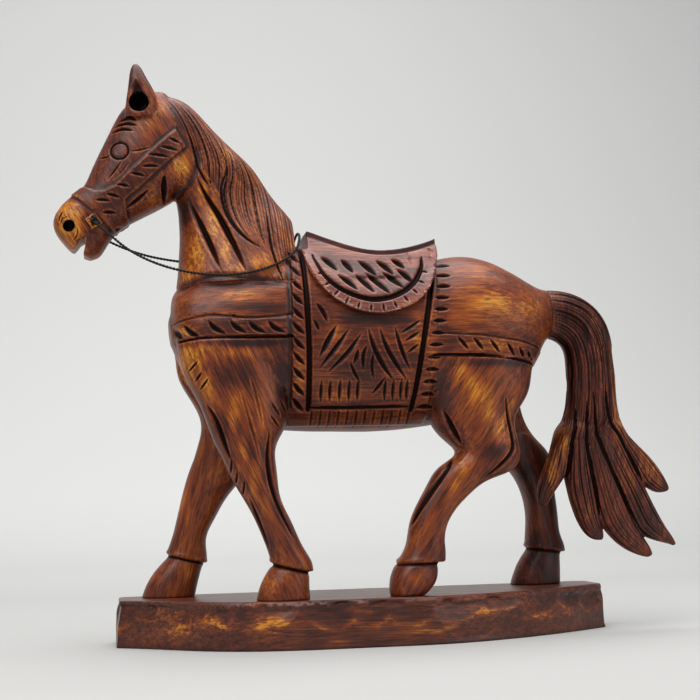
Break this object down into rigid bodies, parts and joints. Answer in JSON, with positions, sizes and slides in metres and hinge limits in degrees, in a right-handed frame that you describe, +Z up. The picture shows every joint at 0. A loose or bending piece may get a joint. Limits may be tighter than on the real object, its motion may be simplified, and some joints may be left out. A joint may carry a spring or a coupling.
{
  "type": "carved wooden horse figurine",
  "caption": "Carved and lacquered wooden walking horse with carved bridle, saddle, blanket and straps, cord reins, and a hewn boat-shaped plinth.",
  "frame": {"origin": "on the plinth's underside, below the middle of the horse", "axes": "+Z up, the horse walks towards -X, its left side faces -Y"},
  "size_m": [0.3142, 0.0802, 0.285],
  "materials": {
    "horse_wood": "hand-carved hardwood, red-brown stain rubbed back to amber on the ridges, gloss lacquer",
    "saddle_wood": "carved hardwood, dark stain in the cuts, gloss lacquer",
    "tail_wood": "carved hardwood, strands cut lengthwise, dark stain, gloss lacquer",
    "plinth_wood": "hewn hardwood, mottled stain, gloss lacquer",
    "dowel_beech": "plain beech dowel",
    "screw_steel": "yellow-zinc wood screw",
    "rein_cord": "black waxed cotton cord, two strands"
  },
  "bodies": {
    "root": {"dowel_foreleg_left_front": "dowel_beech", "dowel_foreleg_left_rear": "dowel_beech", "dowel_foreleg_right_front": "dowel_beech", "dowel_foreleg_right_rear": "dowel_beech", "dowel_hindleg_left_front": "dowel_beech", "dowel_hindleg_left_rear": "dowel_beech", "dowel_hindleg_right_front": "dowel_beech", "dowel_hindleg_right_rear": "dowel_beech", "dowel_neck_front": "dowel_beech", "dowel_neck_rear": "dowel_beech", "dowel_saddle_front": "dowel_beech", "dowel_saddle_rear": "dowel_beech", "dowel_tail": "dowel_beech", "foreleg_left": "horse_wood", "foreleg_right": "horse_wood", "hindleg_left": "horse_wood", "hindleg_right": "horse_wood", "neck_and_head": "horse_wood", "plinth": "plinth_wood", "rein_knot_left": "rein_cord", "rein_knot_right": "rein_cord", "reins": "rein_cord", "saddle": "saddle_wood", "screw_foreleg_left": "screw_steel", "screw_foreleg_right": "screw_steel", "screw_hindleg_left": "screw_steel", "screw_hindleg_right": "screw_steel", "tail": "tail_wood", "torso": "horse_wood"}
  },
  "joints": []
}
